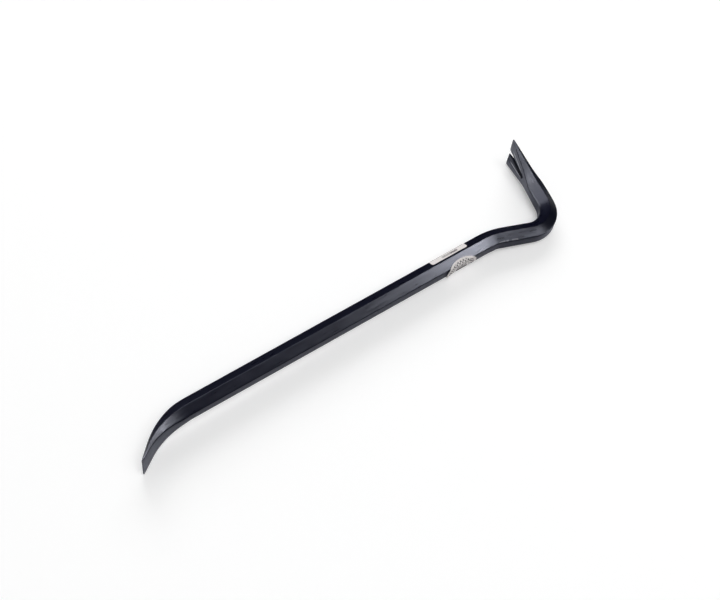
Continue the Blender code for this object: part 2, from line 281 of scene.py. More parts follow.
class HookSettings(bpy.types.PropertyGroup):
    """The neck and the hook."""

    neck_radius: length("Neck radius", "Radius of the neck bend's centreline", 0.0755)
    neck_angle: turn("Neck angle", "How far the neck leans away from the claw's side", 19.6)
    neck_length: length("Neck length", "Straight length between the two bends", 0.028)
    hook_radius: length("Hook radius", "Radius of the hook bend's centreline", 0.0238)
    hook_angle: turn("Hook angle", "How far the hook is bent back", 101.4)
    arm_length: length("Arm length", "From the hook's bend to the claw's tip", 0.07058)
    mark_depth: length("Mark depth", "How far the bending former pressed the outer ridges in", 0.0005)
    mark_start: length("Mark start", "Where the former's mark starts, from the end of the shank", 0.0105)
    mark_length: length("Mark length", "How far the former's mark runs on", 0.012)


class ClawSettings(bpy.types.PropertyGroup):
    """The nail claw, measured back from its tip."""

    width: length("Width", "Width at the tip", 0.0419)
    tip: length("Tip", "Thickness at the tip", 0.0015)
    blade_length: length("Blade length", "From the tip to where the blade ends", 0.037)
    blade_width: length("Blade width", "Width over the side ridges there", 0.0323)
    blade_thickness: length("Blade thickness", "Thickness there", 0.0096)
    blade_inner: length("Blade inner flat", "Width of the inner flat there", 0.0157)
    blade_outer: length("Blade outer flat", "Width of the outer flat there", 0.0244)
    shoulder_length: length("Shoulder length", "From the tip to the shoulder", 0.050)
    shoulder_width: length("Shoulder width", "Width over the side ridges there", 0.0295)
    shoulder_thickness: length("Shoulder thickness", "Thickness there", 0.0149)
    shoulder_inner: length("Shoulder inner flat", "Width of the inner flat there", 0.0085)
    shoulder_outer: length("Shoulder outer flat", "Width of the outer flat there", 0.0187)
    taper_length: length("Taper length", "From the tip to the full hexagon", 0.073)
    lean: turn("Lean", "How far the flats lean about the bar's line where the taper starts", 11.5)
    lean_length: length("Lean length", "From the tip to where the flats start to lean", 0.095)
    slot_depth: length("Slot depth", "From the tip to the slot's root", 0.0325)
    slot_mouth: length("Slot mouth", "Width of the slot at the tip", 0.0067)
    slot_root: length("Slot root radius", "Radius of the slot's root", 0.0019)
    bevel_mouth: length("Bevel mouth", "Width of the bevel at the tip", 0.021)
    bevel_root: length("Bevel root radius", "Radius of the bevel round the slot's root", 0.0036)
    bevel_at_tip: length("Bevel at tip", "Depth of the bevel at the tip", 0.0006)
    bevel_at_root: length("Bevel at root", "Depth of the bevel at the root", 0.0030)


class LabelSettings(bpy.types.PropertyGroup):
    """The two paper labels on the shank, beside the neck."""

    thickness: length("Thickness", "Thickness of the paper", 0.00012)
    glue: length("Glue", "Gap that the glue fills under the paper", 0.00004)
    plain_length: length("Plain length", "Length of the rectangular label", 0.042)
    plain_width: length("Plain width", "Its width round the bar", 0.016)
    plain_on_side: length("Plain on side face", "How much of it lies past the corner", 0.0073)
    plain_corner: length("Plain corner", "Radius of its corners", 0.002)
    plain_to_neck: length("Plain to neck", "From its middle to the end of the shank", 0.0374)
    oval_length: length("Oval length", "Length of the oval label", 0.0366)
    oval_width: length("Oval width", "Its width round the bar", 0.0254)
    oval_on_side: length("Oval on side face", "How much of it lies on the side face", 0.0053)
    oval_to_neck: length("Oval to neck", "From its middle to the end of the shank", 0.0307)
    lift: length("Lift", "How far the oval label's end has come unstuck", 0.0012)


class PaintSettings(bpy.types.PropertyGroup):
    """The black paint."""

    paint: colour("Paint", "Colour of the paint", (0.0022, 0.0026, 0.0088))
    sheen: colour("Sheen", "Colour of what the paint mirrors", (0.84, 0.87, 1.0))
    # Lighter colour of the rims, as thin paint and painted highlight, and of the painted highlight streaks
    # under the neck
    worn_and_highlit: colour("Worn", "Colour of the thin paint on the rims", (0.14, 0.14, 0.15))
    # Painted highlight on the rim of the nail's seat, coloured as bright steel
    seat_highlight: colour("Bare", "Colour of the steel that nails rubbed bright", (0.42, 0.42, 0.44))
    dust: colour("Dust", "Colour of the dust specks", (0.16, 0.155, 0.15))
    roughness: share("Roughness", "Roughness of the paint", 0.30)
    forging: length("Forging", "Depth of the unevenness that the forging left", 0.00028)
    peel: length("Orange peel", "Depth of the paint's fine ripple", 0.000006)


class PaperSettings(bpy.types.PropertyGroup):
    """The labels' paper and print."""

    paper: colour("Paper", "Colour of the paper", packed_colour("label_paper"))
    ink: colour("Ink", "Colour of the dark print", (0.05, 0.045, 0.05))
    stain: colour("Stain", "Colour of the paper's stains and flecks", (0.36, 0.34, 0.35))
    fibre: length("Fibre", "Depth of the paper's surface", 0.000008)


class StageSettings(bpy.types.PropertyGroup):
    """Floor, lamps and camera."""

    floor: colour("Floor", "Colour of the floor", (0.8, 0.8, 0.8))
    ceiling: colour("Ceiling", "Colour of the room above the horizon", (0.033, 0.035, 0.04))
    ambient: share("Ambient", "Strength of the room's even light", 0.22)
    lift: share("Lift", "Light that the floor gives of itself to what looks at it", 0.30)
    lens: FloatProperty(name="Lens", description="Focal length on a 36 mm sensor", default=72.486,
                        precision=4, subtype="DISTANCE_CAMERA", unit="CAMERA")


SETTINGS = {
    "crowbar_stock": StockSettings,
    "crowbar_chisel": ChiselSettings,
    "crowbar_hook": HookSettings,
    "crowbar_claw": ClawSettings,
    "crowbar_labels": LabelSettings,
    "crowbar_paint": PaintSettings,
    "crowbar_paper": PaperSettings,
    "crowbar_stage": StageSettings,
}


class Station:
    """A place on the bar's centreline: its distance from the chisel's edge, point and heading."""

    def __init__(self, distance, point, heading):
        self.distance = distance
        self.point = point
        self.heading = heading

    def along(self):
        return Vector((math.cos(self.heading), math.sin(self.heading), 0.0))

    def inward(self):
        """Direction toward the hook's inside."""
        return Vector((-math.sin(self.heading), math.cos(self.heading), 0.0))

    def place(self, inward, across):
        return self.point + self.inward() * inward + Vector((0.0, 0.0, across))


def centreline(scene):
    """Stations from the chisel's edge to the claw's tip."""
    stock, chisel, hook = scene.crowbar_stock, scene.crowbar_chisel, scene.crowbar_hook
    stations = [Station(0.0, Vector((0.0, 0.0, 0.0)), chisel.bend_angle)]

    def straight(run):
        start = stations[-1]
        steps = math.ceil(run / STRAIGHT_STEP)
        for i in range(1, steps + 1):
            part = run * i / steps
            point = start.point + start.along() * part
            stations.append(Station(start.distance + part, point, start.heading))

    def bend(radius, angle):
        start = stations[-1]
        steps = math.ceil(max(abs(angle) / BEND_STEP, radius * abs(angle) / STRAIGHT_STEP))
        centre = start.point + start.inward() * math.copysign(radius, angle)
        for i in range(1, steps + 1):
            part = angle * i / steps
            point = centre + Matrix.Rotation(part, 3, "Z") @ (start.point - centre)
            stations.append(Station(start.distance + radius * abs(part), point, start.heading + part))

    straight(chisel.straight)
    bend(chisel.bend_radius, -chisel.bend_angle)
    straight(stock.shank)
    bend(hook.neck_radius, -hook.neck_angle)
    straight(hook.neck_length)
    bend(hook.hook_radius, hook.hook_angle)
    straight(hook.arm_length)
    return stations


def section_table(scene, total):
    """Distances with the section there: thickness, width over the side ridges, flats and lean."""
    stock, chisel, claw = scene.crowbar_stock, scene.crowbar_chisel, scene.crowbar_claw
    side = stock.across_flats / math.sqrt(3.0)
    hexagon = (stock.across_flats, 2.0 * side, side, side, 0.0)
    chisel_flat = chisel.width - 2.0 * chisel.land
    claw_flat = claw.width - 2.0 * chisel.land
    return [
        (0.0, (chisel.edge, chisel.width, chisel_flat, chisel_flat, 0.0)),
        (chisel.blade_length, (chisel.blade_thickness, chisel.width, chisel.blade_flat,
                               chisel.blade_flat, 0.0)),
        (chisel.taper_length, hexagon),
        (total - claw.lean_length, hexagon),
        (total - claw.taper_length, (*hexagon[:-1], claw.lean)),
        (total - claw.shoulder_length, (claw.shoulder_thickness, claw.shoulder_width,
                                        claw.shoulder_inner, claw.shoulder_outer, 0.0)),
        (total - claw.blade_length, (claw.blade_thickness, claw.blade_width,
                                     claw.blade_inner, claw.blade_outer, 0.0)),
        (total, (claw.tip, claw.width, claw_flat, claw_flat, 0.0)),
    ]


def section_at(table, distance, ease):
    """The section at a distance, with each change of taper rounded out."""

    def straight_between(place):
        for (near, first), (far, last) in zip(table, table[1:]):
            if place <= far:
                part = (place - near) / (far - near)
                return [a + (b - a) * part for a, b in zip(first, last)]
        return list(table[-1][1])

    reach = min(ease, distance, table[-1][0] - distance)
    samples = [straight_between(distance + reach * i / EASE_SAMPLES)
               for i in range(-EASE_SAMPLES, EASE_SAMPLES + 1)]
    return [sum(column) / len(samples) for column in zip(*samples)]


def section_corners(thickness, width, inner_flat, outer_flat, lean):
    """The section's six corners, as (inward, across), turned from inward toward +Z by the lean."""
    half = thickness / 2.0
    corners = [
        Vector((half, inner_flat / 2.0)),
        Vector((0.0, width / 2.0)),
        Vector((-half, outer_flat / 2.0)),
        Vector((-half, -outer_flat / 2.0)),
        Vector((0.0, -width / 2.0)),
        Vector((half, -inner_flat / 2.0)),
    ]
    return [Matrix.Rotation(lean, 2) @ corner for corner in corners]


def smooth(value, low, high):
    """0 below low, 1 above high and smooth in between."""
    part = max(0.0, min(1.0, (value - low) / (high - low)))
    return part * part * (3.0 - 2.0 * part)


def forged_share(table, distance):
    """0 on the rolled shank and 1 where the bar was forged."""
    chisel_end = table[CHISEL_END][0]
    claw_start = table[CLAW_START][0]
    far, near = CLAW_FADE
    return max(1.0 - smooth(distance, chisel_end, chisel_end + CHISEL_FADE),
               smooth(distance, claw_start - far, claw_start - near))


def corner_radii(table, distance, radius):
    """The radii of the six corners at a distance."""
    end = CHISEL_SHARES if distance < table[-1][0] / 2.0 else CLAW_SHARES
    forged = forged_share(table, distance)
    return [radius * (rolled + (worked - rolled) * forged) for rolled, worked in zip(ROLLED_SHARES, end)]


def corner_reaches(corners, radii, most):
    """How far each corner's rounding reaches along the flats beside it: at most the given share of them."""
    reaches = []
    for i, (corner, radius) in enumerate(zip(corners, radii)):
        back = corners[i - 1] - corner
        ahead = corners[(i + 1) % len(corners)] - corner
        half_angle = back.angle(ahead) / 2.0
        reaches.append(min(radius / math.tan(half_angle), most * min(back.length, ahead.length)))
    return reaches


def forged_corners(table, distance, mark_start, stock, hook):
    """The section's corners, off their true lines as hammer and bending former left them."""
    corners = section_corners(*section_at(table, distance, stock.ease))
    from_tip = table[-1][0] - distance
    calm = forged_share(table, distance) * smooth(distance, *WAVER_FROM_EDGE)
    calm *= smooth(from_tip, *WAVER_FROM_TIP)
    fading = smooth(distance, mark_start + hook.mark_length * MARK_FULL, mark_start + hook.mark_length)
    mark = smooth(distance, mark_start, mark_start + MARK_RISE) * (1.0 - fading)
    for i, corner in enumerate(corners):
        stray = noise.noise(Vector((distance * WAVER_PACE, i * WAVER_APART, 0.0)))
        corner += corner.normalized() * stray * stock.waver * calm
        if i in MARKED_CORNERS:
            corner -= corner.normalized() * hook.mark_depth * mark
    return corners


def only_verts(geometry):
    return [item for item in geometry if isinstance(item, bmesh.types.BMVert)]


def add_outline(bm, points, filled):
    """A ring of vertices at the given points, with a face if it is filled."""
    ring = bmesh.ops.create_circle(bm, segments=len(points), radius=1.0, cap_ends=filled)["verts"]
    for vert, point in zip(ring, points):
        vert.co = point
    return ring


def extrude_rings(bm, rings):
    """A closed solid through rings of equally many points: a circle, extruded from ring to ring and capped.

    Returns the edges that run from ring to ring, as one list for each step.
    """
    ring = add_outline(bm, rings[0], False)

    def round_edges():
        return [bm.edges.get(pair) for pair in zip(ring, ring[1:] + ring[:1])]

    bmesh.ops.contextual_create(bm, geom=round_edges())
    runs = []
    for points in rings[1:]:
        fresh = set(only_verts(bmesh.ops.extrude_edge_only(bm, edges=round_edges())["geom"]))
        run = [next(edge for edge in vert.link_edges if edge.other_vert(vert) in fresh) for vert in ring]
        ring = [edge.other_vert(vert) for vert, edge in zip(ring, run)]
        for vert, point in zip(ring, points):
            vert.co = point
        runs.append(run)
    bmesh.ops.contextual_create(bm, geom=round_edges())
    bmesh.ops.recalc_face_normals(bm, faces=bm.faces)
    return runs


def link_object(name, data):
    """An object in the scene that shows some data."""
    made = bpy.data.objects.new(name, data)
    bpy.context.scene.collection.objects.link(made)
    return made


def add_object(name, bm):
    """Turns a bmesh into a named object at the origin."""
    mesh = bpy.data.meshes.new(name)
    bm.to_mesh(mesh)
    bm.free()
    return link_object(name, mesh)


def apply_modifiers(obj):
    """Gives the object the mesh that its modifiers make."""
    graph = bpy.context.evaluated_depsgraph_get()
    made = bpy.data.meshes.new_from_object(obj.evaluated_get(graph), depsgraph=graph)
    rough = obj.data
    obj.modifiers.clear()
    obj.data = made
    bpy.data.meshes.remove(rough)


def rest_matrix():
    return Matrix.Translation(REST_MOVE) @ Matrix.Rotation(REST_ANGLE, 4, REST_AXIS)


def make_blank(stations, table, stock, chisel, hook):
    """The forging before its slot is cut: six sharp corners, rounded by a bevel along each ridge."""
    shank_end = chisel.straight + chisel.bend_radius * chisel.bend_angle + stock.shank
    mark_start = shank_end + hook.mark_start
    outlines = [forged_corners(table, station.distance, mark_start, stock, hook) for station in stations]
    rings = [[station.place(*corner) for corner in outline] for station, outline in zip(stations, outlines)]
    reaches = []
    for station, outline in zip(stations, outlines):
        from_tip = min(station.distance, table[-1][0] - station.distance)
        most = TIP_MOST + (BAR_MOST - TIP_MOST) * smooth(from_tip, 0.0, TIP_RUN)
        radii = corner_radii(table, station.distance, stock.corner_radius)
        reaches.append(corner_reaches(outline, radii, most))
    widest = max(max(row) for row in reaches)
    bm = bmesh.new()
    weight = bm.edges.layers.float.new("bevel_weight_edge")
    runs = extrude_rings(bm, rings)
    for run, near, far in zip(runs, reaches, reaches[1:]):
        for edge, a, b in zip(run, near, far):
            edge[weight] = min(a, b) / widest
    blank = add_object("forged_crowbar", bm)
    rounding = blank.modifiers.new("ridges", "BEVEL")
    rounding.limit_method = "WEIGHT"
    rounding.width = widest
    rounding.segments = CORNER_SEGMENTS
    rounding.profile = 0.5
    rounding.use_clamp_overlap = False
    apply_modifiers(blank)
    return blank


def slot_outline(claw, mouth, root_radius, overrun):
    """Points (back from the tip, across) of a V with a round root, run on past the tip."""
    centre = claw.slot_depth - claw.slot_root
    lean = math.atan2(mouth / 2.0 - root_radius, centre)
    sweep = math.pi / 2.0 - lean
    points = []
    for step in range(ROOT_STEPS + 1):
        angle = sweep * (2.0 * step / ROOT_STEPS - 1.0)
        points.append((centre + root_radius * math.cos(angle), root_radius * math.sin(angle)))
    end = mouth / 2.0 + overrun * math.tan(lean)
    return [(-overrun, -end)] + points + [(-overrun, end)]


def make_slot_cutter(tip, claw):
    """The nail slot with its bevel, square to the claw's inner flat."""
    rise = (claw.blade_thickness - claw.tip) / 2.0
    slope = math.atan2(rise, claw.blade_length)
    origin = tip.place(claw.tip / 2.0, 0.0)
    along = tip.inward() * math.sin(slope) - tip.along() * math.cos(slope)
    out = tip.inward() * math.cos(slope) + tip.along() * math.sin(slope)
    overrun = CUTTER_OVERRUN * claw.tip
    slot = slot_outline(claw, claw.slot_mouth, claw.slot_root, overrun)
    flare = slot_outline(claw, claw.bevel_mouth, claw.bevel_root, overrun)

    def point(run, across, height):
        return origin + along * run + out * height + Vector((0.0, 0.0, across))

    def depth(run):
        return claw.bevel_at_tip + (claw.bevel_at_root - claw.bevel_at_tip) * run / claw.slot_depth

    through = CUTTER_REACH * claw.blade_thickness
    lower = [point(run, across, -through) for run, across in slot]
    land = [point(run, across, -depth(run)) for run, across in slot]
    face = [point(run, across, 0.0) for run, across in flare]
    above = [start + (end - start) * CUTTER_REACH for start, end in zip(land, face)]
    bm = bmesh.new()
    extrude_rings(bm, [lower, land, above])
    return add_object("slot_cutter", bm)


def cut_slot(blank, cutter):
    """Cuts the cutter out of the blank; where that leaves nothing, with the solver's check of each body."""
    modifier = blank.modifiers.new("slot", "BOOLEAN")
    modifier.operation = "DIFFERENCE"
    modifier.solver = "EXACT"
    modifier.object = cutter
    graph = bpy.context.evaluated_depsgraph_get()
    if not blank.evaluated_get(graph).data.polygons:
        modifier.use_self = True
    apply_modifiers(blank)
    bpy.data.objects.remove(cutter, do_unlink=True)
    if not blank.data.polygons:
        raise RuntimeError("The slot could not be cut with these sizes")


def soften_rims(bm, width):
    """Rounds the sharp edges at the tips and round the slot, and marks them for the lighter rim colour:
    thin paint and painted highlight.
    """
    rim = bm.verts.layers.float.new("rim")
    flat_seams = [edge for edge in bm.edges if edge.is_manifold
                  and edge.calc_face_angle(math.pi) < COPLANAR_ANGLE]
    bmesh.ops.dissolve_edges(bm, edges=flat_seams, use_verts=True)
    sharp = [edge for edge in bm.edges if edge.is_manifold and edge.calc_face_angle(0.0) > RIM_ANGLE]
    made = bmesh.ops.bevel(bm, geom=sharp, offset=width, offset_type="OFFSET", segments=RIM_SEGMENTS,
                           profile=0.5, affect="EDGES", clamp_overlap=True, material=-1)
    rims = set(made["faces"])
    for vert in made["verts"]:
        if all(face in rims for face in vert.link_faces):
            vert[rim] = 1.0


def lay_out(bm, stations, table):
    """Writes each vertex's place along, into and across the bar, and how much it was forged."""
    tree = kdtree.KDTree(len(stations))
    for i, station in enumerate(stations):
        tree.insert(station.point, i)
    tree.balance()
    place = bm.verts.layers.float_vector.new("bar_place")
    forged = bm.verts.layers.float.new("forged")
    for vert in bm.verts:
        flat = Vector((vert.co.x, vert.co.y, 0.0))
        station = stations[tree.find(flat)[1]]
        offset = flat - station.point
        distance = station.distance + offset.dot(station.along())
        vert[place] = (distance, offset.dot(station.inward()), vert.co.z)
        vert[forged] = forged_share(table, distance)


def make_bar(scene):
    stock = scene.crowbar_stock
    stations = centreline(scene)
    table = section_table(scene, stations[-1].distance)
    bar = make_blank(stations, table, stock, scene.crowbar_chisel, scene.crowbar_hook)
    cut_slot(bar, make_slot_cutter(stations[-1], scene.crowbar_claw))
    bm = bmesh.new()
    bm.from_mesh(bar.data)
    bmesh.ops.remove_doubles(bm, verts=bm.verts, dist=TINY)
    soften_rims(bm, stock.rim)
    lay_out(bm, stations, table)
    bmesh.ops.transform(bm, matrix=rest_matrix(), verts=bm.verts)
    bmesh.ops.recalc_face_normals(bm, faces=bm.faces)
    bm.to_mesh(bar.data)
    bm.free()
    bar.data.shade_smooth()
    shading = bar.modifiers.new("flats", "WEIGHTED_NORMAL")
    shading.keep_sharp = True
    return bar


def rounded_rectangle(wide, low, high, radius, along):
    """Outline from low to high round the bar, centred at a distance along it."""
    points = []
    for quarter, (side_x, side_y) in enumerate(((1, 1), (-1, 1), (-1, -1), (1, -1))):
        centre_x = along + side_x * (wide / 2.0 - radius)
        centre_y = (high - radius) if side_y > 0 else (low + radius)
        for step in range(QUARTER_STEPS + 1):
            angle = math.radians(90.0) * (quarter + step / QUARTER_STEPS)
            points.append((centre_x + radius * math.cos(angle), centre_y + radius * math.sin(angle)))
    return points


def ellipse(wide, low, high, along):
    points = []
    for step in range(OVAL_POINTS):
        angle = math.radians(360.0 / OVAL_POINTS) * (step + 0.5)
        across = (low + high) / 2.0 + (high - low) / 2.0 * math.sin(angle)
        points.append((along + wide / 2.0 * math.cos(angle), across))
    return points


def wrap(run, height, corner, shank_start, stock, glue):
    """Lays a point of a flat label round the shank.

    run is (along the shank, round it from the given corner), and height is above the glue.
    """
    side = stock.across_flats / math.sqrt(3.0)
    flat = side - 2.0 * stock.corner_radius * math.tan(SIXTH / 2.0)
    radius = stock.corner_radius + glue
    period = flat + radius * SIXTH
    turns = round(run[1] / period)
    rest = run[1] - turns * period
    arc = max(-SIXTH / 2.0, min(SIXTH / 2.0, rest / radius))
    middle = corner + turns * SIXTH
    angle = middle + arc
    corner_centre = side - stock.corner_radius / math.cos(SIXTH / 2.0)
    centre = Vector((run[0], corner_centre * math.cos(middle), corner_centre * math.sin(middle)))
    outward = Vector((0.0, math.cos(angle), math.sin(angle)))
    onward = Vector((0.0, -math.sin(angle), math.cos(angle)))
    return shank_start + centre + outward * (radius + height) + onward * (rest - arc * radius)


def make_label(name, outline, corner, shank_start, scene, lift):
    """A paper label: its flat outline is sliced, given its print's map and thickness, and wrapped."""
    stock, labels = scene.crowbar_stock, scene.crowbar_labels
    bm = bmesh.new()
    add_outline(bm, [(*point, 0.0) for point in outline], True)
    low = Vector((min(point[0] for point in outline), min(point[1] for point in outline), 0.0))
    high = Vector((max(point[0] for point in outline), max(point[1] for point in outline), 0.0))
    for axis, step in SLICES:
        count = math.ceil((high - low).dot(axis) / step)
        for i in range(1, count):
            cut = low + (high - low) * i / count
            bmesh.ops.bisect_plane(bm, geom=bm.verts[:] + bm.edges[:] + bm.faces[:], dist=TINY,
                                   plane_co=cut, plane_no=axis)
    printed = bm.loops.layers.uv.new("print")
    for face in bm.faces:
        for loop in face.loops:
            place = loop.vert.co - low
            loop[printed].uv = (place.x / (high.x - low.x), place.y / (high.y - low.y))
    raised = bmesh.ops.extrude_face_region(bm, geom=list(bm.faces))["geom"]
    bmesh.ops.translate(bm, verts=only_verts(raised), vec=(0.0, 0.0, labels.thickness))
    bmesh.ops.recalc_face_normals(bm, faces=bm.faces)
    for vert in bm.verts:
        loose = 1.0 - smooth((vert.co.x - low.x) / (high.x - low.x), 0.0, CURLED_SHARE)
        height = vert.co.z + lift * loose
        vert.co = wrap((vert.co.x, vert.co.y), height, corner, shank_start, stock, labels.glue)
    # Wrapping mirrors the sheet, so its faces are turned back
    bmesh.ops.reverse_faces(bm, faces=bm.faces)
    bmesh.ops.transform(bm, matrix=rest_matrix(), verts=bm.verts)
    label = add_object(name, bm)
    label.data.shade_smooth()
    label.data.set_sharp_from_angle(angle=LABEL_SHARP)
    return label


def make_labels(scene):
    """The plain label over the inner corner, and the oval one over the outer corner."""
    stock, labels = scene.crowbar_stock, scene.crowbar_labels
    shank_start = next(station.point for station in centreline(scene) if abs(station.heading) < TINY)
    high = labels.plain_on_side
    plain = rounded_rectangle(labels.plain_length, high - labels.plain_width, high, labels.plain_corner,
                              stock.shank - labels.plain_to_neck)
    low = -labels.oval_on_side
    oval = ellipse(labels.oval_length, low, low + labels.oval_width, stock.shank - labels.oval_to_neck)
    return [
        make_label("rectangular_label", plain, INNER_CORNER, shank_start, scene, 0.0),
        make_label("oval_paper_label", oval, OUTER_CORNER, shank_start, scene, labels.lift),
    ]


def join(tree, node, inputs):
    """Sets or links a node's inputs; colours are given without alpha."""
    for key, value in inputs.items():
        socket = node.inputs[key]
        if isinstance(value, bpy.types.NodeSocket):
            tree.links.new(value, socket)
        elif socket.type == "RGBA":
            socket.default_value = (*value, 1.0)
        else:
            socket.default_value = value


def wire(tree, kind, inputs=None, **settings):
    """A node with its settings made and its inputs set or linked."""
    made = tree.nodes.new(kind)
    for name, value in settings.items():
        setattr(made, name, value)
    join(tree, made, inputs or {})
    return made


def arithmetic(tree, operation, *values, clamp=False):
    """A math node's output."""
    inputs = dict(enumerate(values))
    return wire(tree, "ShaderNodeMath", inputs, operation=operation, use_clamp=clamp).outputs[0]


def product(tree, first, *others):
    """Values multiplied one after another."""
    for value in others:
        first = arithmetic(tree, "MULTIPLY", first, value)
    return first


def highest(tree, first, *others):
    """The highest of some values."""
    for value in others:
        first = arithmetic(tree, "MAXIMUM", first, value)
    return first


def ranged(tree, value, low, high, start=0.0, end=1.0, kind="LINEAR"):
    """Takes a value from between low and high to between start and end."""
    inputs = {"Value": value, "From Min": low, "From Max": high, "To Min": start, "To Max": end}
    return wire(tree, "ShaderNodeMapRange", inputs, interpolation_type=kind).outputs[0]


def within(tree, value, low, high, blur):
    """1 where a value lies between two others, with soft ends."""
    up = ranged(tree, value, low - blur, low + blur, kind="SMOOTHSTEP")
    down = ranged(tree, value, high - blur, high + blur, 1.0, 0.0, "SMOOTHSTEP")
    return product(tree, up, down)


def mixed(tree, factor, first, second):
    """A colour between two."""
    return wire(tree, "ShaderNodeMix", {"Factor": factor, 6: first, 7: second}, data_type="RGBA").outputs[2]


def bumped(tree, height):
    """Normal of a surface with the given height, in metres."""
    inputs = {"Height": height, "Strength": 1.0, "Distance": 1.0}
    return wire(tree, "ShaderNodeBump", inputs).outputs["Normal"]


def soft_ripple(tree, given):
    """Height of a soft, uneven surface: noise of a given size and depth, both in metres."""
    scale = arithmetic(tree, "DIVIDE", 1.0, given["Size"])
    waves = wire(tree, "ShaderNodeTexNoise", {"Vector": given["Place"], "Scale": scale,
                                              "Detail": 2.0, "Roughness": 0.5}).outputs["Fac"]
    centred = arithmetic(tree, "SUBTRACT", waves, 0.5)
    return {"Height": product(tree, centred, given["Depth"]), "Mask": waves}


def scattered_specks(tree, given):
    """Mask of scattered specks of a given spacing; the larger the share, the larger and more the specks."""
    scale = arithmetic(tree, "DIVIDE", 1.0, given["Spacing"])
    cells = wire(tree, "ShaderNodeTexVoronoi", {"Vector": given["Place"], "Scale": scale}).outputs
    lot = wire(tree, "ShaderNodeSeparateColor", {"Color": cells["Color"]}).outputs[0]
    inside = arithmetic(tree, "SUBTRACT", product(tree, lot, given["Share"]), cells["Distance"])
    return {"Mask": arithmetic(tree, "MULTIPLY", inside, 12.0, clamp=True)}


EFFECTS = {"soft ripple": soft_ripple, "scattered specks": scattered_specks}


def grouped(tree, name, **inputs):
    """Outputs of an effect's node group, which is made once and shared by the materials."""
    group = bpy.data.node_groups.get(name)
    if group is None:
        group = bpy.data.node_groups.new(name, "ShaderNodeTree")
        for socket in inputs:
            kind = "NodeSocketVector" if socket == "Place" else "NodeSocketFloat"
            group.interface.new_socket(socket, in_out="INPUT", socket_type=kind)
        results = EFFECTS[name](group, group.nodes.new("NodeGroupInput").outputs)
        for socket in results:
            group.interface.new_socket(socket, in_out="OUTPUT", socket_type="NodeSocketFloat")
        join(group, group.nodes.new("NodeGroupOutput"), results)
    return wire(tree, "ShaderNodeGroup", inputs, node_tree=group).outputs


def mottle(tree, size):
    """Mask that wanders over an object in patches of the given size."""
    here = wire(tree, "ShaderNodeTexCoord").outputs["Object"]
    return grouped(tree, "soft ripple", Place=here, Size=size, Depth=1.0)["Mask"]


def looked_at(tree):
    """1 for what is looked at, also in a mirror or through glass, and 0 for what lights the scene."""
    seen = wire(tree, "ShaderNodeLightPath").outputs
    return highest(tree, seen["Is Camera Ray"], seen["Is Glossy Ray"], seen["Is Transmission Ray"])


def new_material(name):
    """A material with only its shader and output; returns it with its tree and shader."""
    material = bpy.data.materials.new(name)
    material.use_nodes = True
    tree = material.node_tree
    return material, tree, tree.nodes["Principled BSDF"]


def glint_mask(tree, along, inward, across):
    """Mask of painted highlight streaks on the side flat, beside the ridge under the neck."""
    struck = 0.0
    for start, end in NECK_GLINTS:
        struck = arithmetic(tree, "ADD", struck, within(tree, along, start, end, 0.0007))
    beside = within(tree, inward, *GLINTS_INWARD, 0.0003)
    this_side = within(tree, across, *GLINTS_ACROSS, 0.0001)
    return product(tree, struck, product(tree, beside, this_side))


def seat_rim_highlight(tree, along, inward, across, claw, total):
    """Mask of the painted highlight along the rim of the nail's seat, a thin V on the claw's inner flat."""
    back = arithmetic(tree, "SUBTRACT", total, along)
    narrowing = (claw.bevel_mouth / 2.0 - claw.bevel_root) / (claw.slot_depth - claw.slot_root)
    rim = arithmetic(tree, "MULTIPLY_ADD", back, -narrowing, claw.bevel_mouth / 2.0)
    off = arithmetic(tree, "SUBTRACT", arithmetic(tree, "ABSOLUTE", across), rim)
    line = within(tree, off, -SEAT_WIDTH, SEAT_WIDTH, 0.0003)
    stretch = within(tree, back, SEAT_START, claw.slot_depth - claw.bevel_root, 0.003)
    inside = within(tree, inward, SEAT_INWARD, claw.blade_thickness, 0.0003)
    return product(tree, line, product(tree, stretch, inside))


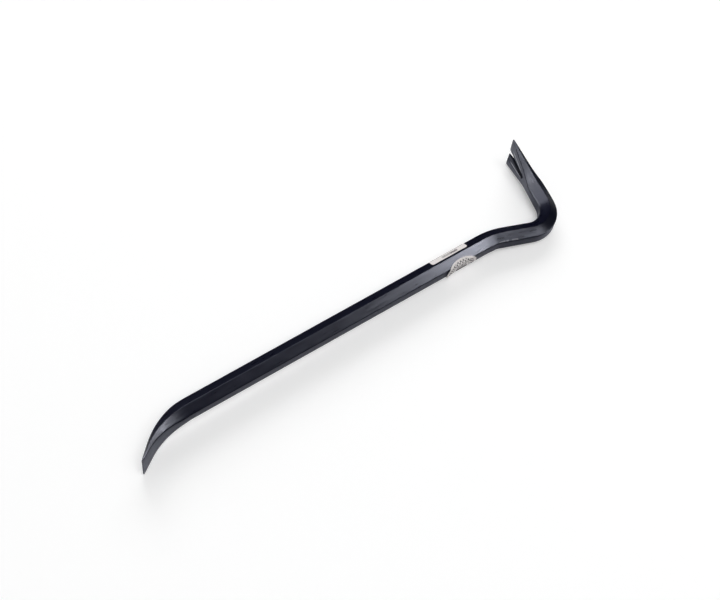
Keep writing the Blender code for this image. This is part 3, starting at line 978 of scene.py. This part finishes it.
def black_paint(look, claw, total):
    """Black paint on forged steel with dust; painted highlights lighten its rims, which are also thin
    paint, streaks under the neck and the rim of the nail's seat.
    """
    material, tree, shader = new_material("black_enamel_on_steel")
    place = wire(tree, "ShaderNodeAttribute", attribute_name="bar_place").outputs["Vector"]
    forged = wire(tree, "ShaderNodeAttribute", attribute_name="forged").outputs["Fac"]
    rim = wire(tree, "ShaderNodeAttribute", attribute_name="rim").outputs["Fac"]
    axes = wire(tree, "ShaderNodeSeparateXYZ", {"Vector": place}).outputs

    drawn = wire(tree, "ShaderNodeMapping", {"Vector": place, "Scale": FORGING_STRETCH}).outputs[0]
    depth = ranged(tree, forged, 0.0, 1.0, look.forging * 0.12, look.forging)
    forging = grouped(tree, "soft ripple", Place=drawn, Size=0.009, Depth=depth)["Height"]
    peel = grouped(tree, "soft ripple", Place=place, Size=0.0011, Depth=look.peel)["Height"]

    streaks = wire(tree, "ShaderNodeMapping", {"Vector": place, "Scale": WEAR_STRETCH}).outputs[0]
    uneven = grouped(tree, "soft ripple", Place=streaks, Size=0.0018, Depth=1.0)["Mask"]
    # Painted highlight streaks under the neck, drawn in the rims' lighter colour
    glinted = arithmetic(tree, "MULTIPLY", glint_mask(tree, *axes), 2.0, clamp=True)
    # Rims, lighter as thin paint and as painted highlight, together with the painted highlight streaks
    worn_and_highlit = product(tree, highest(tree, rim, glinted), uneven)
    # Painted highlight along the rim of the nail's seat
    seat = product(tree, seat_rim_highlight(tree, *axes, claw, total), uneven)
    seat_highlight = arithmetic(tree, "MULTIPLY", seat, 1.8, clamp=True)
    dust = grouped(tree, "scattered specks", Place=place, Spacing=0.0035, Share=0.08)["Mask"]
    coat = mixed(tree, seat_highlight, mixed(tree, worn_and_highlit, look.paint, look.worn_and_highlit), look.seat_highlight)

    patchy = ranged(tree, uneven, 0.3, 0.7, look.roughness - 0.03, look.roughness + 0.05)
    rubbed = arithmetic(tree, "MULTIPLY_ADD", worn_and_highlit, 0.2, patchy)
    join(tree, shader, {
        "Base Color": mixed(tree, product(tree, dust, 0.55), coat, look.dust),
        "Roughness": arithmetic(tree, "MULTIPLY_ADD", dust, 0.4, rubbed, clamp=True),
        "IOR": 1.35,
        "Specular Tint": look.sheen,
        "Normal": bumped(tree, arithmetic(tree, "ADD", forging, peel)),
    })
    return material


def paper(name, look, draw):
    """Coated label paper with its print, fibre, stains and a few flecks."""
    material, tree, shader = new_material(name)
    print_map = wire(tree, "ShaderNodeUVMap", uv_map="print").outputs["UV"]
    axes = wire(tree, "ShaderNodeSeparateXYZ", {"Vector": print_map}).outputs
    here = wire(tree, "ShaderNodeTexCoord").outputs["Object"]
    fibre = grouped(tree, "soft ripple", Place=here, Size=0.0006, Depth=look.fibre)
    fleck = grouped(tree, "scattered specks", Place=here, Spacing=0.0022, Share=0.1)["Mask"]
    aged = mixed(tree, product(tree, mottle(tree, 0.004), 0.16), look.paper, look.stain)
    flecked = mixed(tree, product(tree, fleck, 0.35), aged, look.stain)
    join(tree, shader, {
        "Base Color": mixed(tree, draw(tree, axes["X"], axes["Y"]), flecked, look.ink),
        "Roughness": ranged(tree, fibre["Mask"], 0.0, 1.0, 0.6, 0.8),
        "Specular IOR Level": 0.15,
        "Normal": bumped(tree, fibre["Height"]),
    })
    return material


def ruled_print(tree, x, y):
    """Rows of rules, broken into uneven dashes."""
    stretched = wire(tree, "ShaderNodeCombineXYZ", {"X": product(tree, x, 0.05),
                                                    "Y": product(tree, y, 0.02)}).outputs[0]
    dashes = grouped(tree, "soft ripple", Place=stretched, Size=0.0011, Depth=1.0)["Mask"]
    rows = [product(tree, within(tree, y, level - half, level + half, 0.01),
                    within(tree, x, start, end, 0.003), strength)
            for level, half, start, end, strength in RULED_ROWS]
    return product(tree, highest(tree, *rows), ranged(tree, dashes, 0.40, 0.48))


def framed_print(tree, x, y):
    """A bare margin round a chequered ring and a thin oval line, with three bars and a hatched strip."""
    right = arithmetic(tree, "MULTIPLY_ADD", x, 2.0, -1.0)
    up = arithmetic(tree, "MULTIPLY_ADD", y, 2.0, -1.0)
    square = arithmetic(tree, "MULTIPLY_ADD", up, up, product(tree, right, right))
    reach = arithmetic(tree, "SQRT", square)
    squares = {"X": product(tree, x, OVAL_SQUARES[0]), "Y": product(tree, y, OVAL_SQUARES[1]), "Z": 0.5}
    board = wire(tree, "ShaderNodeCombineXYZ", squares).outputs[0]
    chequer = wire(tree, "ShaderNodeTexChecker", {"Vector": board, "Scale": 1.0}).outputs["Fac"]
    ring = product(tree, within(tree, reach, *OVAL_RING, 0.006), chequer)
    line = within(tree, reach, *OVAL_LINE, 0.006)
    aside = arithmetic(tree, "ABSOLUTE", right)
    bars = [product(tree, within(tree, up, low, high, 0.008), arithmetic(tree, "LESS_THAN", aside, half))
            for low, high, half in OVAL_BARS]
    slanted = arithmetic(tree, "MULTIPLY_ADD", right, OVAL_SLANT[0], product(tree, up, OVAL_SLANT[1]))
    hatch = arithmetic(tree, "GREATER_THAN", arithmetic(tree, "SINE", slanted), 0.1)
    strip = product(tree, within(tree, up, *OVAL_STRIP, 0.01), hatch)
    inside = arithmetic(tree, "LESS_THAN", reach, OVAL_MIDDLE)
    middle = product(tree, highest(tree, *bars, strip), inside)
    return product(tree, highest(tree, line, ring, middle), 0.92)


def floor_material(stage):
    """Pale floor that keeps its shadows and is lifted to white for what looks at it."""
    material, tree, shader = new_material("studio_floor")
    tint = mixed(tree, product(tree, mottle(tree, 0.05), 0.02), stage.floor, (0.7, 0.7, 0.7))
    join(tree, shader, {"Base Color": tint, "Roughness": 0.9, "Specular IOR Level": 0.0})
    strength = product(tree, looked_at(tree), stage.lift)
    glow = wire(tree, "ShaderNodeEmission", {"Color": WHITE, "Strength": strength})
    both = wire(tree, "ShaderNodeAddShader", {0: shader.outputs[0], 1: glow.outputs[0]})
    join(tree, tree.nodes["Material Output"], {"Surface": both.outputs[0]})
    return material


def card_material(name, tones, glow=0.0):
    """Matt card whose tone wanders between two colours, and that can give some light of itself."""
    dull, bright = tones
    material, tree, shader = new_material(name)
    join(tree, shader, {"Base Color": mixed(tree, mottle(tree, 0.02), dull, bright), "Roughness": 1.0,
                        "Specular IOR Level": 0.0, "Emission Color": bright, "Emission Strength": glow})
    return material


def make_floor(stage):
    bm = bmesh.new()
    bmesh.ops.create_grid(bm, x_segments=1, y_segments=1, size=FLOOR_REACH)
    floor = add_object("floor", bm)
    floor.data.materials.append(floor_material(stage))
    return floor


def add_card(name, bm, material):
    """A card that only reflections show."""
    card = add_object(name, bm)
    card.data.materials.append(material)
    card.visible_camera = False
    card.visible_diffuse = False
    card.visible_transmission = False
    card.visible_shadow = False
    return card


def make_dark_card():
    """Dark card round the bar, higher behind it, and on the floor round it."""
    bm = bmesh.new()
    bmesh.ops.create_circle(bm, segments=WALL_PIECES, radius=WALL_RADIUS)
    for vert in only_verts(bmesh.ops.extrude_edge_only(bm, edges=bm.edges[:])["geom"]):
        way = math.atan2(vert.co.y, vert.co.x)
        behind = smooth(way, *WALL_UP) * (1.0 - smooth(way, *WALL_DOWN))
        vert.co.z = WALL_HEIGHT + WALL_RISE * behind
    for corners in FLOOR_CARDS:
        add_outline(bm, [(*corner, DARK_HEIGHT) for corner in corners], True)
    return add_card("dark_card", bm, card_material("dark_card", DARK_TONES))


def make_white_cards():
    """White cards under the bar, for the faces that look down."""
    cards = []
    for name, (corners, glow) in WHITE_CARDS.items():
        bm = bmesh.new()
        add_outline(bm, [(*corner, WHITE_HEIGHT) for corner in corners], True)
        cards.append(add_card(name, bm, card_material(name, WHITE_TONES, glow)))
    return cards


def direction(azimuth, elevation):
    """Direction at two angles in degrees, round from +X and up from the floor."""
    way = math.radians(azimuth)
    up = math.radians(elevation)
    return Vector((math.cos(way) * math.cos(up), math.sin(way) * math.cos(up), math.sin(up)))


def add_panel(name, location, outward, roll, wide, high, radiance):
    """A rectangular lamp that faces away from the given direction and shows the given radiance."""
    lamp = bpy.data.lights.new(name, "AREA")
    lamp.shape = "RECTANGLE"
    lamp.size = wide
    lamp.size_y = high
    lamp.energy = radiance * math.pi * wide * high
    panel = link_object(name, lamp)
    facing = outward.to_track_quat("Z", "Y") @ Quaternion((0.0, 0.0, 1.0), math.radians(roll))
    panel.location = location
    panel.rotation_euler = facing.to_euler()
    panel.visible_camera = False
    return panel


def add_mirrored_lamps():
    """The long strip and the three panels that the paint mirrors; they don't light the scene."""
    for name, (location, azimuth, elevation, roll, wide, high, radiance) in MIRRORED_LAMPS.items():
        panel = add_panel(name, location, direction(azimuth, elevation), roll, wide, high, radiance)
        panel.visible_diffuse = False


def add_even_lamps():
    """A low lamp behind the bar and a high one over it; the paint doesn't mirror them."""
    for name, (distance, azimuth, elevation, wide, high, level) in EVEN_LAMPS.items():
        outward = direction(azimuth, elevation)
        steepness = math.sin(math.radians(elevation))
        radiance = level * math.pi * distance * distance / (wide * high * steepness)
        panel = add_panel(name, outward * distance, outward, 0.0, wide, high, radiance)
        panel.visible_glossy = False


def make_world(stage):
    """A white room up to above eye level under a dim ceiling; its even light is set apart from its look."""
    world = bpy.data.worlds.new("studio_room")
    world.use_nodes = True
    tree = world.node_tree
    tree.nodes.clear()
    way = wire(tree, "ShaderNodeTexCoord").outputs["Generated"]
    up = wire(tree, "ShaderNodeSeparateXYZ", {"Vector": way}).outputs["Z"]
    above = ranged(tree, up, 0.14, 0.30, kind="SMOOTHSTEP")
    tone = mixed(tree, above, WHITE, stage.ceiling)
    room = wire(tree, "ShaderNodeBackground", {"Color": tone, "Strength": 1.0})
    even = wire(tree, "ShaderNodeBackground", {"Color": WHITE, "Strength": stage.ambient})
    both = wire(tree, "ShaderNodeMixShader", {0: looked_at(tree), 1: even.outputs[0], 2: room.outputs[0]})
    wire(tree, "ShaderNodeOutputWorld", {"Surface": both.outputs[0]}, is_active_output=True)
    bpy.context.scene.world = world


def add_camera(stage):
    data = bpy.data.cameras.new("camera")
    data.sensor_width = 36.0
    data.lens = stage.lens
    data.clip_start = 0.05
    data.clip_end = 20.0
    camera = link_object("camera", data)
    camera.location = CAMERA_PLACE
    camera.rotation_euler = [math.radians(angle) for angle in CAMERA_TURN]
    bpy.context.scene.camera = camera


class CROWBAR_OT_forged_bar(bpy.types.Operator):
    """Makes the forged bar: shank, chisel, neck, hook and nail claw in one piece"""

    bl_idname = "crowbar.forged_bar"
    bl_label = "Forged Bar"

    def execute(self, context):
        scene = context.scene
        bar = make_bar(scene)
        total = centreline(scene)[-1].distance
        bar.data.materials.append(black_paint(scene.crowbar_paint, scene.crowbar_claw, total))
        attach(bar, BODY)
        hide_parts("forged_bar")
        return {"FINISHED"}


class CROWBAR_OT_labels(bpy.types.Operator):
    """Makes the two paper labels on the shank"""

    bl_idname = "crowbar.labels"
    bl_label = "Paper Labels"

    def execute(self, context):
        scene = context.scene
        look = scene.crowbar_paper
        plain, oval = make_labels(scene)
        plain.data.materials.append(paper("ruled_label_paper", look, ruled_print))
        oval.data.materials.append(paper("framed_label_paper", look, framed_print))
        for label, node in ((plain, "plain_label"), (oval, "oval_label")):
            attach(label, BODY)
            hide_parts(node)
        return {"FINISHED"}


class CROWBAR_OT_stage(bpy.types.Operator):
    """Makes the floor, the lamps, the room and the camera"""

    bl_idname = "crowbar.stage"
    bl_label = "Stage"

    def execute(self, context):
        scene = context.scene
        stage = scene.crowbar_stage
        make_floor(stage)
        make_dark_card()
        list(make_white_cards())
        add_mirrored_lamps()
        add_even_lamps()
        make_world(stage)
        add_camera(stage)
        scene.view_settings.view_transform = "Standard"
        return {"FINISHED"}


class CROWBAR_PT_maker(bpy.types.Panel):
    """Lists the crowbar's settings and operators"""

    bl_label = "Crowbar"
    bl_idname = "CROWBAR_PT_maker"
    bl_space_type = "VIEW_3D"
    bl_region_type = "UI"
    bl_category = "Crowbar"

    def draw(self, context):
        for title, operator, groups in PANEL_ROWS:
            box = self.layout.box()
            box.label(text=title)
            for group in groups:
                settings = getattr(context.scene, group)
                for name in settings.bl_rna.properties.keys():
                    if name not in ("rna_type", "name"):
                        box.prop(settings, name)
            box.operator(operator)


PANEL_ROWS = (
    ("Bar", "crowbar.forged_bar", ("crowbar_stock", "crowbar_chisel", "crowbar_hook", "crowbar_claw",
                                   "crowbar_paint")),
    ("Labels", "crowbar.labels", ("crowbar_labels", "crowbar_paper")),
    ("Stage", "crowbar.stage", ("crowbar_stage",)),
)

CLASSES = (
    *SETTINGS.values(),
    CROWBAR_OT_forged_bar,
    CROWBAR_OT_labels,
    CROWBAR_OT_stage,
    CROWBAR_PT_maker,
)


def register():
    for cls in CLASSES:
        bpy.utils.register_class(cls)
    for name, group in SETTINGS.items():
        setattr(bpy.types.Scene, name, PointerProperty(type=group))


def unregister():
    for name in SETTINGS:
        delattr(bpy.types.Scene, name)
    for cls in reversed(CLASSES):
        bpy.utils.unregister_class(cls)


def main():
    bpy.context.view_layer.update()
    register()
    bpy.ops.crowbar.forged_bar()
    bpy.ops.crowbar.labels()
    bpy.ops.crowbar.stage()


if __name__ == "__main__":
    main()
